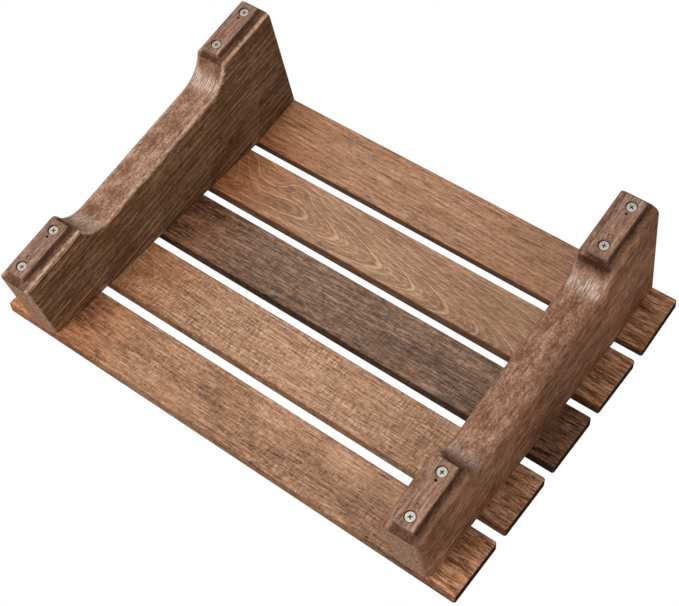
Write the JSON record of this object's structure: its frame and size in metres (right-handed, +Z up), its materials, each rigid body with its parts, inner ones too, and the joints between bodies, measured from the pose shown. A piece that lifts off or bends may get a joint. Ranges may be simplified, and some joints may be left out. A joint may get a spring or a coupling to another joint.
{
  "type": "slatted wooden stand",
  "caption": "Low wooden stand: spaced slats slope up to a level back slat, on two arched legs whose feet have screwed-on wooden pads.",
  "frame": {"origin": "on the floor, under the middle of the stand's bounding box", "axes": "+X along the slats, +Y from the low front edge to the high back edge, +Z up from the floor; the legs stand at X = -0.170 m and +0.170 m"},
  "size_m": [0.412, 0.2878, 0.1243],
  "materials": {
    "slat_1_wood": "stained and oiled, satin",
    "slat_2_wood": "stained and oiled, satin",
    "slat_3_wood": "stained and oiled, satin",
    "slat_4_wood": "stained and oiled, satin",
    "slat_5_wood": "stained and oiled, satin",
    "leg_wood": "stained and oiled, satin",
    "pad_wood": "stained and oiled, satin",
    "dowel_wood": "stained and oiled, satin",
    "screw_zinc": "zinc plated"
  },
  "bodies": {
    "root": {"slat_1_front": "slat_1_wood", "slat_2": "slat_2_wood", "slat_3": "slat_3_wood", "slat_4": "slat_4_wood", "slat_5_back": "slat_5_wood", "slat_1_screws_left": "screw_zinc", "slat_1_screws_right": "screw_zinc", "slat_2_screws_left": "screw_zinc", "slat_2_screws_right": "screw_zinc", "slat_3_screws_left": "screw_zinc", "slat_3_screws_right": "screw_zinc", "slat_4_screws_left": "screw_zinc", "slat_4_screws_right": "screw_zinc", "slat_5_screws_left": "screw_zinc", "slat_5_screws_right": "screw_zinc", "leg_left": "leg_wood", "leg_right": "leg_wood", "foot_pad_front_left": "pad_wood", "pad_dowel_front_left": "dowel_wood", "pad_screw_front_left_front": "screw_zinc", "pad_screw_front_left_back": "screw_zinc", "foot_pad_front_right": "pad_wood", "pad_dowel_front_right": "dowel_wood", "pad_screw_front_right_front": "screw_zinc", "pad_screw_front_right_back": "screw_zinc", "foot_pad_back_left": "pad_wood", "pad_dowel_back_left": "dowel_wood", "pad_screw_back_left_front": "screw_zinc", "pad_screw_back_left_back": "screw_zinc", "foot_pad_back_right": "pad_wood", "pad_dowel_back_right": "dowel_wood", "pad_screw_back_right_front": "screw_zinc", "pad_screw_back_right_back": "screw_zinc"}
  },
  "joints": []
}
